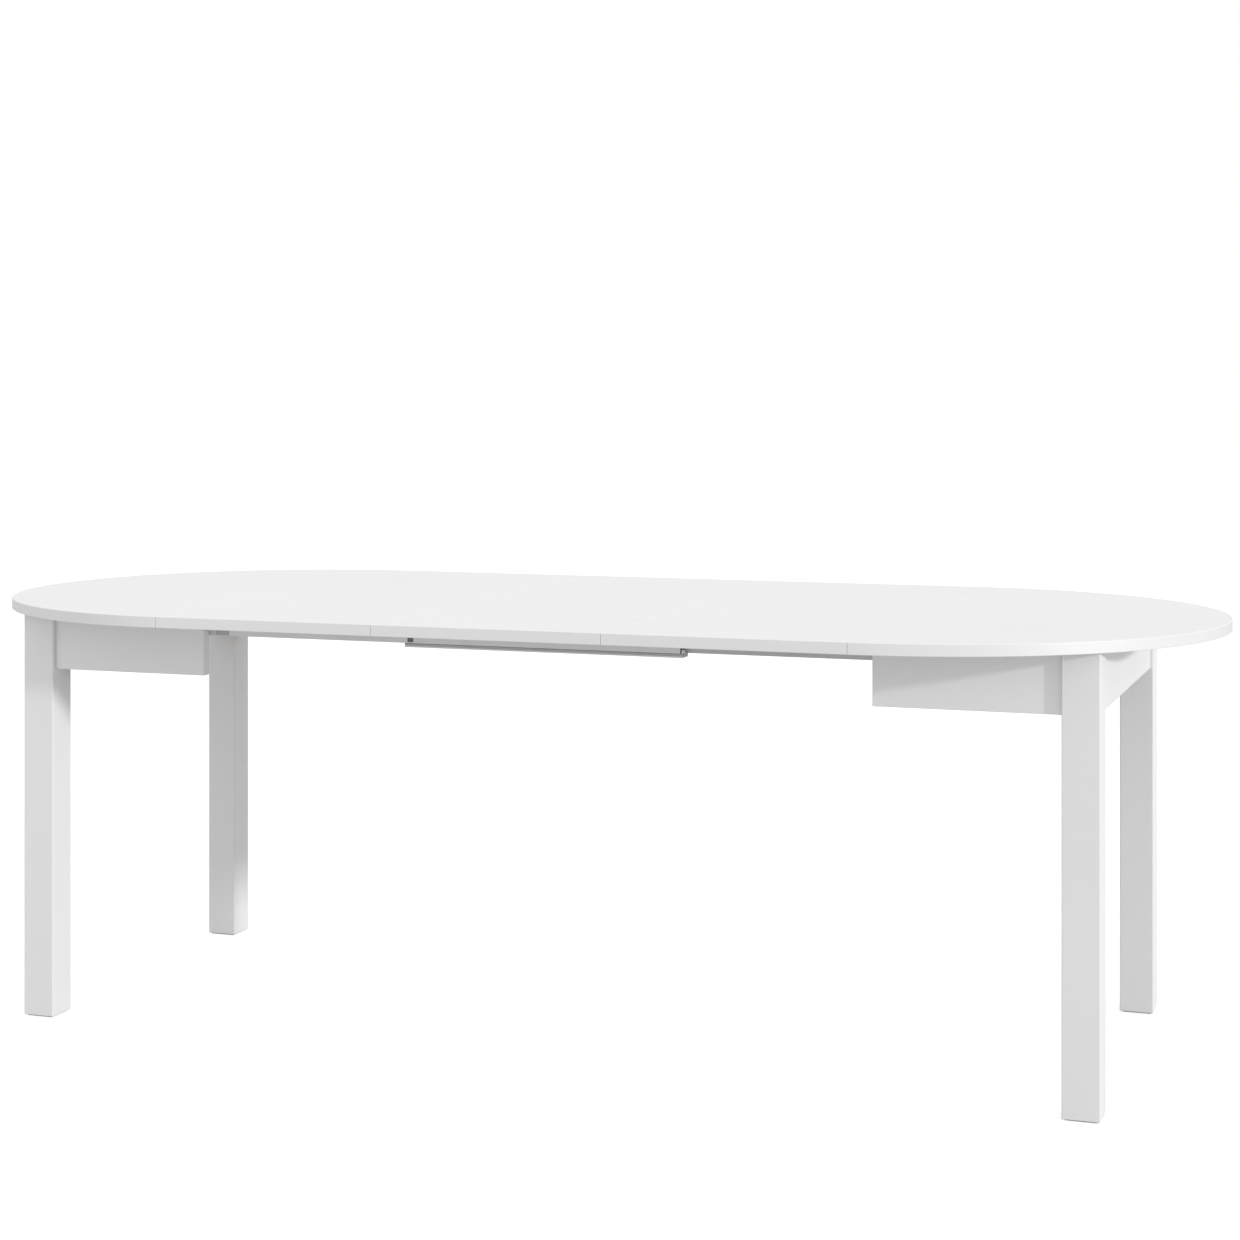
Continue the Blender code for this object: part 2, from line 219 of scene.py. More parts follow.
def floor_material():
    made = bpy.data.materials.new("pale_floor")
    made.use_nodes = True
    tree = made.node_tree
    tree.nodes.clear()
    out = tree.nodes.new("ShaderNodeOutputMaterial")
    seen = tree.nodes.new("ShaderNodeBsdfPrincipled")
    seen.inputs["Base Color"].default_value = (FLOOR_SEEN, FLOOR_SEEN, FLOOR_SEEN, 1.0)
    seen.inputs["Roughness"].default_value = 0.9
    seen.inputs["Specular IOR Level"].default_value = 0.0
    seen.inputs["Emission Color"].default_value = (1.0, 1.0, 1.0, 1.0)
    seen.inputs["Emission Strength"].default_value = FLOOR_GLOW
    bounce = tree.nodes.new("ShaderNodeBsdfPrincipled")
    bounce.inputs["Base Color"].default_value = (FLOOR_BOUNCE, FLOOR_BOUNCE, FLOOR_BOUNCE, 1.0)
    bounce.inputs["Roughness"].default_value = 0.9
    bounce.inputs["Specular IOR Level"].default_value = 0.0
    path = tree.nodes.new("ShaderNodeLightPath")
    mix = tree.nodes.new("ShaderNodeMixShader")
    tree.links.new(path.outputs["Is Camera Ray"], mix.inputs[0])
    tree.links.new(bounce.outputs[0], mix.inputs[1])
    tree.links.new(seen.outputs[0], mix.inputs[2])
    tree.links.new(mix.outputs[0], out.inputs["Surface"])
    return made


def make_floor():
    shape = bmesh.new()
    half = FLOOR_SIZE / 2
    places = ((-half, -half), (half, -half), (half, half), (-half, half))
    corners = [shape.verts.new((x, y, 0.0)) for x, y in places]
    shape.faces.new(corners)
    mesh = bpy.data.meshes.new("floor")
    shape.to_mesh(mesh)
    shape.free()
    mesh.materials.append(floor_material())
    floor = bpy.data.objects.new("floor", mesh)
    bpy.context.scene.collection.objects.link(floor)
    floor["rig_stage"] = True


# ---------------------------------------------------------------- materials

class Nodes:
    """A short way to wire shader nodes."""

    def __init__(self, name):
        self.material = bpy.data.materials.new(name)
        self.material.use_nodes = True
        self.tree = self.material.node_tree
        self.shader = self.tree.nodes["Principled BSDF"]

    def add(self, kind, **values):
        node = self.tree.nodes.new("ShaderNode" + kind)
        for key, value in values.items():
            setattr(node, key, value)
        return node

    def link(self, start, end):
        self.tree.links.new(start, end)

    def place(self, scale=(1.0, 1.0, 1.0), turn=(0.0, 0.0, 0.0)):
        """Object coordinates, stretched."""
        coords = self.add("TexCoord")
        mapping = self.add("Mapping")
        mapping.inputs["Scale"].default_value = scale
        mapping.inputs["Rotation"].default_value = turn
        self.link(coords.outputs["Object"], mapping.inputs["Vector"])
        return mapping.outputs["Vector"]

    def noise(self, vector, scale, detail=3.0, roughness=0.55):
        node = self.add("TexNoise")
        node.inputs["Scale"].default_value = scale
        node.inputs["Detail"].default_value = detail
        node.inputs["Roughness"].default_value = roughness
        self.link(vector, node.inputs["Vector"])
        return node.outputs["Fac"]

    def ramp(self, source, stops):
        node = self.add("ValToRGB")
        ramp = node.color_ramp
        while len(ramp.elements) < len(stops):
            ramp.elements.new(0.5)
        for element, (at, colour) in zip(ramp.elements, stops):
            element.position = at
            element.color = (*colour, 1.0)
        self.link(source, node.inputs["Fac"])
        return node.outputs["Color"]

    def range(self, source, low, high, from_low=0.3, from_high=0.7):
        node = self.add("MapRange")
        node.inputs["From Min"].default_value = from_low
        node.inputs["From Max"].default_value = from_high
        node.inputs["To Min"].default_value = low
        node.inputs["To Max"].default_value = high
        self.link(source, node.inputs["Value"])
        return node.outputs["Result"]

    def math(self, what, first, second):
        node = self.add("Math", operation=what)
        for socket, value in zip(node.inputs, (first, second)):
            if isinstance(value, (int, float)):
                socket.default_value = value
            else:
                self.link(value, socket)
        return node.outputs["Value"]

    def colour(self, source):
        self.link(source, self.shader.inputs["Base Color"])

    def roughness(self, source):
        self.link(source, self.shader.inputs["Roughness"])

    def bump(self, height, distance, strength=1.0):
        node = self.add("Bump")
        node.inputs["Distance"].default_value = distance
        node.inputs["Strength"].default_value = strength
        self.link(height, node.inputs["Height"])
        self.link(node.outputs["Normal"], self.shader.inputs["Normal"])


def shade(value, tint=(1.0, 1.0, 1.0)):
    return tuple(value * t for t in tint)


def white_board(name, value, tint, roughness, pearl_scale, pearl_height, gloss=0.5, coat=0.0):
    """White melamine film: a nearly even tone over a fine pearl texture."""
    kit = Nodes(name)
    plain = kit.place()
    tone = kit.noise(plain, 3.0, 2.0)
    kit.colour(kit.ramp(tone, ((0.30, shade(value * 0.988, tint)), (0.70, shade(value * 1.008, tint)))))
    pearl = kit.noise(plain, pearl_scale, 2.0, 0.6)
    kit.roughness(kit.range(pearl, roughness - 0.06, roughness + 0.06))
    kit.bump(pearl, pearl_height, 0.6)
    kit.shader.inputs["IOR"].default_value = 1.48
    kit.shader.inputs["Specular IOR Level"].default_value = gloss
    kit.shader.inputs["Coat Weight"].default_value = coat
    kit.shader.inputs["Coat Roughness"].default_value = 0.42
    kit.shader.inputs["Coat IOR"].default_value = 1.6
    return kit.material


def aluminium(name, value):
    """Mill-finish extrusion: fine die lines along X, a slight grey mottling."""
    kit = Nodes(name)
    lines = kit.noise(kit.place(scale=(0.6, 60.0, 60.0)), 34.0, 3.0)
    cloud = kit.noise(kit.place(), 14.0, 3.0)
    blend = kit.math("ADD", kit.math("MULTIPLY", cloud, 0.4), kit.math("MULTIPLY", lines, 0.6))
    tint = (0.995, 1.0, 1.005)
    kit.colour(kit.ramp(blend, ((0.35, shade(value * 0.93, tint)), (0.65, shade(value * 1.07, tint)))))
    kit.shader.inputs["Metallic"].default_value = 1.0
    kit.roughness(kit.range(lines, 0.34, 0.48))
    kit.bump(lines, 0.00002, 0.5)
    return kit.material


def moulded(name, dark, light, roughness):
    """Moulded plastic with a fine spark-eroded grain."""
    kit = Nodes(name)
    grain = kit.noise(kit.place(), 2600.0, 2.0)
    patch = kit.noise(kit.place(), 40.0, 2.0)
    kit.colour(kit.ramp(patch, ((0.3, dark), (0.7, light))))
    kit.roughness(kit.range(grain, roughness - 0.07, roughness + 0.07))
    kit.bump(grain, 0.00003, 0.6)
    return kit.material


def beech():
    """Planed beech: pale pinkish brown, straight grain, short dark flecks."""
    kit = Nodes("beech")
    grain = kit.noise(kit.place(scale=(1.0, 12.0, 12.0)), 16.0, 4.0)
    flecks = kit.noise(kit.place(scale=(1.0, 9.0, 9.0)), 160.0, 2.0)
    fleck = kit.range(flecks, 0.0, 0.35, 0.60, 0.74)
    blend = kit.math("SUBTRACT", grain, fleck)
    tones = ((0.10, (0.30, 0.17, 0.085)), (0.38, (0.50, 0.32, 0.18)), (0.62, (0.62, 0.43, 0.26)))
    kit.colour(kit.ramp(blend, tones))
    kit.roughness(kit.range(grain, 0.52, 0.66))
    kit.bump(blend, 0.00008, 0.5)
    return kit.material


def zinc():
    """Zinc plate over steel: bright, with a faint spangle and a warm cast."""
    kit = Nodes("zinc_steel")
    cells = kit.add("TexVoronoi")
    cells.inputs["Scale"].default_value = 420.0
    kit.link(kit.place(), cells.inputs["Vector"])
    smudge = kit.noise(kit.place(), 60.0, 3.0)
    blend = kit.math("MULTIPLY", cells.outputs["Distance"], smudge)
    kit.colour(kit.ramp(blend, ((0.10, (0.60, 0.60, 0.585)), (0.45, (0.48, 0.485, 0.48)))))
    kit.shader.inputs["Metallic"].default_value = 1.0
    kit.roughness(kit.range(smudge, 0.24, 0.40))
    kit.bump(cells.outputs["Distance"], 0.00002, 0.4)
    return kit.material


def felt():
    """Pressed off-white felt: matted short fibres."""
    kit = Nodes("felt")
    fibres = kit.noise(kit.place(), 900.0, 5.0, 0.75)
    kit.colour(kit.ramp(fibres, ((0.30, (0.44, 0.44, 0.44)), (0.70, (0.68, 0.68, 0.67)))))
    kit.shader.inputs["Roughness"].default_value = 0.95
    kit.shader.inputs["Sheen Weight"].default_value = 0.3
    kit.bump(fibres, 0.0004, 0.8)
    return kit.material


MATERIALS = {
    "white_top": white_board("white_top", 0.825, (1.0, 1.0, 1.0), 0.46, 1400.0, 0.00003),
    "white_laminate": white_board("white_laminate", 0.805, (1.0, 1.0, 1.0), 0.46, 1400.0, 0.00003),
    "white_edge": white_board("white_edge_band", 0.745, (1.0, 1.0, 1.0), 0.46, 900.0, 0.00002, 1.0, 1.0),
    "white_legs": white_board("white_legs", 0.79, (1.0, 1.0, 1.0), 0.50, 1100.0, 0.00003),
    "aluminium": aluminium("aluminium", 0.68),
    # A darker copy of the same mill-finish aluminium, 0.50 against 0.68: painted shade for the shadow the
    # boards cast on the right rails.
    "aluminium_painted_shade": aluminium("aluminium_painted_shade", 0.50),
    "black_plastic": moulded("black_plastic", (0.13, 0.13, 0.132), (0.16, 0.16, 0.162), 0.45),
    "pale_nylon": moulded("pale_nylon", (0.78, 0.78, 0.77), (0.82, 0.82, 0.81), 0.45),
    "grey_nylon": moulded("grey_nylon", (0.46, 0.46, 0.465), (0.50, 0.50, 0.505), 0.50),
    "beech": beech(),
    "zinc_steel": zinc(),
    "felt": felt(),
}


# ---------------------------------------------------------------- mesh helpers

def make_piece(name, shape, slot, body, stands_for=(), finishes=None, smooth_below=35.0):
    """Turn a bmesh, drawn in world metres, into a shown piece that rides on a body."""
    bmesh.ops.recalc_face_normals(shape, faces=shape.faces)
    mesh = bpy.data.meshes.new(name)
    shape.to_mesh(mesh)
    shape.free()
    for finish in finishes or (slot,):
        mesh.materials.append(MATERIALS[finish])
    mesh.shade_smooth()
    mesh.set_sharp_from_angle(angle=math.radians(smooth_below))
    piece = bpy.data.objects.new(name, mesh)
    bpy.context.scene.collection.objects.link(piece)
    flatten = piece.modifiers.new("flat faces stay flat", "WEIGHTED_NORMAL")
    flatten.mode = "FACE_AREA"
    flatten.weight = 100
    flatten.keep_sharp = True
    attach(piece, body)
    if stands_for:
        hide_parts(*stands_for)
    return piece


def body_of(node):
    """The CAD body that a node rides on."""
    return frame["nodes"][node]["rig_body"]


def arc(centre, radius, start, end, steps):
    """Points along an arc in the drawing plane, both ends included."""
    points = []
    for step in range(steps + 1):
        angle = start + (end - start) * step / steps
        points.append((centre[0] + radius * math.cos(angle), centre[1] + radius * math.sin(angle)))
    return points


def rounded_rectangle(half_x, half_y, radius, inset=0.0, steps=CORNER_STEPS, crisp_x=1.0):
    """A rectangle about the origin, drawn in by inset, with round corners that never quite vanish.

    crisp_x below 1 draws the sides that face X in by less.
    """
    bend = max(radius - inset, TINY)
    reach_x = half_x - inset * crisp_x - bend
    reach_y = half_y - inset - bend
    points = []
    for quarter, (sx, sy) in enumerate(((1, 1), (-1, 1), (-1, -1), (1, -1))):
        start = quarter * math.pi / 2
        points += arc((sx * reach_x, sy * reach_y), bend, start, start + math.pi / 2, steps)
    return points


def half_round(radius, inset=0.0, seam_inset=0.0):
    """A half disc to the right of a straight seam along Y, with small round corners."""
    bend = max(CORNER_ROUND - max(inset, seam_inset), TINY)
    x = seam_inset + bend
    y = math.sqrt((radius - inset - bend) ** 2 - x * x)
    lean = math.atan2(y, x)
    points = arc((0.0, 0.0), radius - inset, -lean, lean, TOP_STEPS)
    points += arc((x, y), bend, lean, math.pi, CORNER_STEPS)[1:]
    points += arc((x, -y), bend, math.pi, 2 * math.pi - lean, CORNER_STEPS)[:-1]
    return points


def edge_profile(thickness, rounding, band):
    """(inset, height) steps over a banded board's edge, from the middle of one face round to the other."""
    face = [(band + BAND_GAP_WIDTH, 0.0), (band + BAND_GAP_WIDTH / 2, BAND_GAP_DEPTH), (band, 0.0)]
    for step in range(RIM_STEPS + 1):
        angle = math.pi / 2 * step / RIM_STEPS
        face.append((rounding * (1 - math.sin(angle)), rounding * (1 - math.cos(angle))))
    return face + [(inset, thickness - height) for inset, height in reversed(face)]


def skin(shape, rings):
    """Join rings of points, all the same length, into one closed body."""
    loops = [[shape.verts.new(point) for point in ring] for ring in rings]
    count = len(loops[0])
    for below, above in zip(loops, loops[1:]):
        for k in range(count):
            after = (k + 1) % count
            shape.faces.new((below[k], below[after], above[after], above[k]))
    shape.faces.new(list(reversed(loops[0])))
    shape.faces.new(loops[-1])
    return loops


def lift(outline, height):
    return [(x, y, height) for x, y in outline]


def beveled_block(shape, low, high, rounding, steps=3):
    """A box between two corners with its edges rounded."""
    low, high = Vector(low), Vector(high)
    made = bmesh.ops.create_cube(shape, size=1.0)["verts"]
    bmesh.ops.scale(shape, vec=high - low, verts=made)
    bmesh.ops.translate(shape, vec=(low + high) / 2, verts=made)
    edges = {edge for vert in made for edge in vert.link_edges}
    bmesh.ops.bevel(shape, geom=list(edges), offset=rounding, segments=steps, affect="EDGES", profile=0.5)


def band_edges(shape, low, high, axis, side_index):
    """Faces that look sideways, away from a board's two large faces, take the edge band's finish."""
    shape.normal_update()
    for face in shape.faces:
        centre = face.calc_center_median()[axis]
        if abs(face.normal[axis]) < 0.72 and low - 1e-6 < centre < high + 1e-6:
            face.material_index = side_index


def middle_of(node):
    low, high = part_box(node)
    return (low + high) / 2, (high - low) / 2


# ---------------------------------------------------------------- boards

def half_top(node, side):
    """A half-round top with a thin edge band; its seam edges are crisper than its rim."""
    low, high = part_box(node)
    seam = high.x if side < 0 else low.x
    radius = (high.y - low.y) / 2
    shape = bmesh.new()
    rings = []
    for inset, height in edge_profile(high.z - low.z, RIM_ROUND, BAND):
        rings.append(lift(half_round(radius, inset, inset * SEAM_CRISP), height))
    skin(shape, rings)
    bmesh.ops.scale(shape, vec=(side, 1.0, 1.0), verts=shape.verts)
    bmesh.ops.translate(shape, vec=(seam, 0.0, low.z), verts=shape.verts)
    bmesh.ops.recalc_face_normals(shape, faces=shape.faces)
    band_edges(shape, low.z + BAND_FINISH_FROM, high.z - BAND_FINISH_FROM, 2, 1)
    make_piece(node + "_board", shape, "white_laminate", body_of(node), (node,), ("white_top", "white_edge"))


def upright_turn(axis):
    """Turn a board drawn flat so that its thickness runs along world axis X or Y."""
    if axis == "Y":
        return Matrix(((1, 0, 0), (0, 0, -1), (0, 1, 0))).to_4x4()
    return Matrix(((0, 0, 1), (1, 0, 0), (0, 1, 0))).to_4x4()


def straight_board(node, axis, rounding, corner, band, finishes, crisp_x=1.0):
    """A rectangular banded board in a node's place; axis is the direction of its thickness."""
    low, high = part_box(node)
    middle, half = middle_of(node)
    spans = {"Z": (half.x, half.y, half.z), "Y": (half.x, half.z, half.y), "X": (half.y, half.z, half.x)}
    across, along, thick = spans[axis]
    shape = bmesh.new()
    rings = []
    for inset, height in edge_profile(2 * thick, rounding, band):
        outline = rounded_rectangle(across, along, corner, inset, CORNER_STEPS, crisp_x)
        rings.append(lift(outline, height - thick))
    skin(shape, rings)
    if axis != "Z":
        bmesh.ops.transform(shape, matrix=upright_turn(axis), verts=shape.verts)
    bmesh.ops.translate(shape, vec=middle, verts=shape.verts)
    bmesh.ops.recalc_face_normals(shape, faces=shape.faces)
    along_axis = "XYZ".index(axis)
    edge_low = low[along_axis] + BAND_FINISH_FROM
    edge_high = high[along_axis] - BAND_FINISH_FROM
    band_edges(shape, edge_low, edge_high, along_axis, 1)
    make_piece(node + "_panel", shape, "white_laminate", body_of(node), (node,), finishes)


def leg(node):
    """A square leg with softly rounded arrises and eased ends."""
    middle, half = middle_of(node)
    shape = bmesh.new()
    rings = []
    for step in range(RIM_STEPS + 1):
        angle = math.pi / 2 * step / RIM_STEPS
        inset = LEG_END_ROUND * (1 - math.sin(angle))
        rings.append((inset, LEG_END_ROUND * (1 - math.cos(angle)) - half.z))
    rings += [(inset, -height) for inset, height in reversed(rings)]
    outlines = [(rounded_rectangle(half.x, half.y, LEG_ROUND, inset, 6), height) for inset, height in rings]
    skin(shape, [lift(outline, height) for outline, height in outlines])
    bmesh.ops.translate(shape, vec=middle, verts=shape.verts)
    make_piece(node + "_post", shape, "white_legs", body_of(node), (node,))


# ---------------------------------------------------------------- runners

def soften(points, radius, steps=2):
    """Round each corner of a closed outline."""
    out = []
    count = len(points)
    for k, point in enumerate(points):
        here = Vector(point)
        back = (Vector(points[k - 1]) - here).normalized()
        on = (Vector(points[(k + 1) % count]) - here).normalized()
        for step in range(steps + 1):
            t = step / steps
            spot = (1 - t) ** 2 * (here + back * radius) + 2 * t * (1 - t) * here
            spot += t ** 2 * (here + on * radius)
            out.append((spot.x, spot.y))
    return out


def shrink(points, distance):
    """Draw a closed, anticlockwise outline inwards."""
    out = []
    count = len(points)
    for k, point in enumerate(points):
        here = Vector(point)
        back = (here - Vector(points[k - 1])).normalized()
        on = (Vector(points[(k + 1) % count]) - here).normalized()
        normal = Vector((-(back.y + on.y), back.x + on.x)).normalized()
        square = max(normal.dot(Vector((-on.y, on.x))), 0.3)
        spot = here + normal * distance / square
        out.append((spot.x, spot.y))
    return out


def extrusion(shape, outline, start, end, eased):
    """Run a Y, Z outline along X from start to end, with eased ends."""
    small = shrink(outline, eased)
    rings = []
    for points, x in ((small, start), (outline, start + eased), (outline, end - eased), (small, end)):
        rings.append([(x, y, z) for y, z in points])
    skin(shape, rings)
    shape.normal_update()
    caps = [face for face in shape.faces if len(face.verts) > 4]
    bmesh.ops.triangulate(shape, faces=caps, ngon_method="EAR_CLIP")


def runner_middle(node):
    """The H-shaped middle member: two flanges with drip lips and bead lines, and the web between."""
    low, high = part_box(node)
    centre_y = (low.y + high.y) / 2
    half = (high.y - low.y) / 2
    bottom, top = low.z, high.z
    mid = (bottom + top) / 2
    bead = 0.0004
    right = [
        (0.0015, bottom), (0.0025, bottom + bead), (half - 0.0035, bottom + bead), (half - 0.0025, bottom),
        (half, bottom), (half, bottom + FLANGE), (half - 0.0012, bottom + FLANGE),
        (half - 0.0016, bottom + FLANGE - bead), (WEB / 2, bottom + FLANGE - bead),
        (WEB / 2, mid - 0.0016), (WEB / 2 + bead, mid - 0.0008), (WEB / 2 + bead, mid + 0.0008),
        (WEB / 2, mid + 0.0016), (WEB / 2, top - FLANGE), (half, top - FLANGE), (half, top),
    ]
    outline = right + [(-y, z) for y, z in reversed(right)]
    outline = soften(outline, 0.00018, 2)
    shape = bmesh.new()
    extrusion(shape, [(y + centre_y, z) for y, z in outline], low.x, high.x, 0.00012)
    make_piece(node + "_profile", shape, "aluminium", body_of(node), (node,), smooth_below=22.0)


def glide_strip(node):
    """A nylon liner with a crowned, twice-grooved running face."""
    low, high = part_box(node)
    width = high.y - low.y
    groove = 0.0005
    outline = [(low.y, low.z), (high.y, low.z), (high.y, high.z - groove)]
    for at in (0.72, 0.28):
        spot = low.y + width * at
        outline += [(spot + 0.0007, high.z), (spot + 0.0003, high.z - groove),
                    (spot - 0.0003, high.z - groove), (spot - 0.0007, high.z)]
    outline += [(low.y, high.z - groove)]
    shape = bmesh.new()
    extrusion(shape, soften(outline, 0.0001, 1), low.x, high.x, 0.00006)
    make_piece(node + "_liner", shape, "grey_nylon", body_of(node), (node,), smooth_below=22.0)


def stop(node):
    """An end stop: a pale nylon body under a black rubber buffer."""
    low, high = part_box(node)
    split = low.z + STOP_BODY * (high.z - low.z)
    parts = (("body", "pale_nylon", low.z, split), ("buffer", "black_plastic", split, high.z))
    for part, finish, bottom, top in parts:
        shape = bmesh.new()
        beveled_block(shape, (low.x, low.y, bottom + TINY), (high.x, high.y, top - TINY), STOP_ROUND)
        make_piece(f"{node}_{part}", shape, "black_plastic", body_of(node), (node,), (finish,))


def pad(node, y_side, finish):
    """A plastic pad in the rail's window: its outer face carries shallow upright ribs."""
    low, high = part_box(node)
    outer, inner = (low.y, high.y) if y_side < 0 else (high.y, low.y)
    groove = outer - y_side * PAD_GROOVE
    ribs = max(2, round((high.x - low.x) / PAD_PITCH))
    pitch = (high.x - low.x) / ribs
    outline = [(low.x, inner), (low.x, outer)]
    for k in range(ribs):
        start = low.x + k * pitch
        if k:
            outline.append((start, outer))
        outline += [(start + pitch * 0.60, outer), (start + pitch * 0.68, groove)]
        outline.append((start + pitch * 0.92, groove))
    outline[-1] = (high.x - pitch * 0.10, groove)
    outline += [(high.x, outer), (high.x, inner)]
    shape = bmesh.new()
    rings = []
    for z in (low.z, high.z):
        rings.append([(x, y, z) for x, y in outline])
    skin(shape, rings)
    make_piece(node + "_insert", shape, finish, body_of(node), (node,), smooth_below=20.0)


def rail(node, finish):
    """The rail's CAD shape is right; it takes the extrusion's finish."""
    set_finish(node, finish)


def set_finish(node, finish):
    piece = frame["nodes"][node]
    for slot in piece.material_slots:
        slot.material = MATERIALS[finish]


# ---------------------------------------------------------------- fittings

def turned(shape, place, turn, rings, sides):
    """A turned part: rings of (radius, height) along the turned Z axis; radius may depend on angle."""
    loops = []
    for radius, height in rings:
        loop = []
        for k in range(sides):
            angle = 2 * math.pi * (k + 0.5) / sides
            reach = radius(angle) if callable(radius) else radius
            spot = turn @ Vector((reach * math.cos(angle), reach * math.sin(angle), height))
            loop.append(tuple(Vector(place) + spot))
        loops.append(loop)
    return skin(shape, loops)


def cross_angles():
    """Sixteen-odd angles that suit both a round head and the cross cut into it."""
    corner = math.atan2(CROSS_WIDTH, CROSS_REACH)
    angles = []
    for quarter in range(4):
        base = quarter * math.pi / 2
        for part in (0.0, corner, math.pi / 8 + corner / 2, math.pi / 4, math.pi * 3 / 8 - corner / 2,
                     math.pi / 2 - corner):
            angles.append(base + part)
    return angles


def cross_reach(angle):
    """How far the cross recess reaches at an angle, for a head of radius 1."""
    fold = abs((angle + math.pi / 4) % (math.pi / 2) - math.pi / 4)
    if fold < 1e-9:
        return CROSS_REACH
    return min(CROSS_REACH / math.cos(fold), CROSS_WIDTH / math.sin(fold))


def screw_head(shape, place, turn, radius, height):
    """A pan head with a cross recess, standing on place along the turned Z axis."""
    angles = cross_angles()
    round_rings = ((0.92, -0.05), (1.0, 0.12), (1.0, 0.35), (0.93, 0.66), (0.78, 0.90), (0.60, 1.0))
    loops = []
    for reach, level in round_rings:
        wide = reach * radius
        loops.append([(wide * math.cos(a), wide * math.sin(a), level * height) for a in angles])
    for scale, level in ((1.0, 1.0), (0.95, 0.93), (0.45, 0.15)):
        ring = []
        for a in angles:
            reach = cross_reach(a) * radius * scale
            ring.append((reach * math.cos(a), reach * math.sin(a), level * height))
        loops.append(ring)
    skin(shape, [[tuple(Vector(place) + turn @ Vector(point)) for point in loop] for loop in loops])


def turn_to(direction):
    return Vector(direction).to_track_quat("Z", "Y").to_matrix()


DOWN = turn_to((0.0, 0.0, -1.0))


def seam_plate(node):
    """A zinc plate with round corners and four screw heads on its underside."""
    middle, half = middle_of(node)
    shape = bmesh.new()
    eased = 0.0004
    rings = []
    for inset, height in ((eased, -half.z), (0.0, eased - half.z), (0.0, half.z - eased), (eased, half.z)):
        rings.append(lift(rounded_rectangle(half.x, half.y, PLATE_CORNER, inset, 6), height))
    skin(shape, rings)
    bmesh.ops.translate(shape, vec=middle, verts=shape.verts)
    for sx in (-1, 1):
        for sy in (-1, 1):
            spot = middle + Vector((sx * half.x * 0.6, sy * half.y * 0.6, -half.z))
            screw_head(shape, spot, DOWN, PLATE_SCREW, PLATE_SCREW * 0.5)
    make_piece(node + "_screwed", shape, "zinc_steel", body_of(node), (node,))


def timber(node, rounding, screws, face):
    """A beech block or batten with rounded edges, and the screws that hold it."""
    low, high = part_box(node)
    shape = bmesh.new()
    beveled_block(shape, low, high, rounding)
    make_piece(node + "_timber", shape, "beech", body_of(node), (node,))
    heads = bmesh.new()
    for spot in screws:
        screw_head(heads, spot, turn_to(face), WOOD_SCREW, WOOD_SCREW * 0.55)
    make_piece(node + "_screws", heads, "zinc_steel", body_of(node))


def cleat(node):
    low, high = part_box(node)
    x = (low.x + high.x) / 2
    reach = (high.y - low.y) / 2
    spots = [(x, y * reach, low.z) for y in (-0.85, -0.3, 0.3, 0.85)]
    timber(node, TIMBER_ROUND, spots, (0.0, 0.0, -1.0))


def rail_block(node):
    low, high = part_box(node)
    y = (low.y + high.y) / 2
    reach = (high.x - low.x) / 2
    middle = (high.x + low.x) / 2
    spots = [(middle + x * reach, y, low.z) for x in (-0.75, 0.0, 0.75)]
    timber(node, TIMBER_ROUND, spots, (0.0, 0.0, -1.0))


def top_bracket(node, x_side):
    """A bent zinc angle bracket with a rounded heel, screwed to the apron and to the top."""
    low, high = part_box(node)
    face, free = (high.x, low.x) if x_side > 0 else (low.x, high.x)
    heel = (face - x_side * BRACKET_BEND, high.z - BRACKET_BEND)
    inner_bend = BRACKET_BEND - BRACKET_THICK
    outer, inner = [], []
    for step in range(BRACKET_STEPS + 1):
        angle = math.pi / 2 * step / BRACKET_STEPS
        out = (x_side * math.cos(angle), math.sin(angle))
        outer.append((heel[0] + BRACKET_BEND * out[0], heel[1] + BRACKET_BEND * out[1]))
        inner.append((heel[0] + inner_bend * out[0], heel[1] + inner_bend * out[1]))
    outline = [(face, low.z)] + outer + [(free, high.z), (free, high.z - BRACKET_THICK)]
    outline += list(reversed(inner)) + [(face - x_side * BRACKET_THICK, low.z)]
    shape = bmesh.new()
    skin(shape, [[(x, y, z) for x, z in outline] for y in (low.y, high.y)])
    for at in (-0.28, 0.28):
        y = (low.y + high.y) / 2 + at * (high.y - low.y)
        upright = (face - x_side * BRACKET_THICK, y, (low.z + high.z) / 2 - 0.003)
        level = ((free + face) / 2 - x_side * 0.003, y, high.z - BRACKET_THICK)
        screw_head(shape, upright, turn_to((-x_side, 0.0, 0.0)), PLATE_SCREW, PLATE_SCREW * 0.5)
        screw_head(shape, level, DOWN, PLATE_SCREW, PLATE_SCREW * 0.5)
    make_piece(node + "_screwed", shape, "zinc_steel", body_of(node), (node,))


def corner_axes(label, x_side, y_side):
    """The leg's inner corner, and the directions along and across the brace's diagonal."""
    low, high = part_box(f"{label}_leg")
    inner = Vector((low.x if x_side > 0 else high.x, low.y if y_side > 0 else high.y, 0.0))
    inward = Vector((-x_side, -y_side, 0.0)).normalized()
    across = Vector((-inward.y, inward.x, 0.0))
    return inner, inward, across


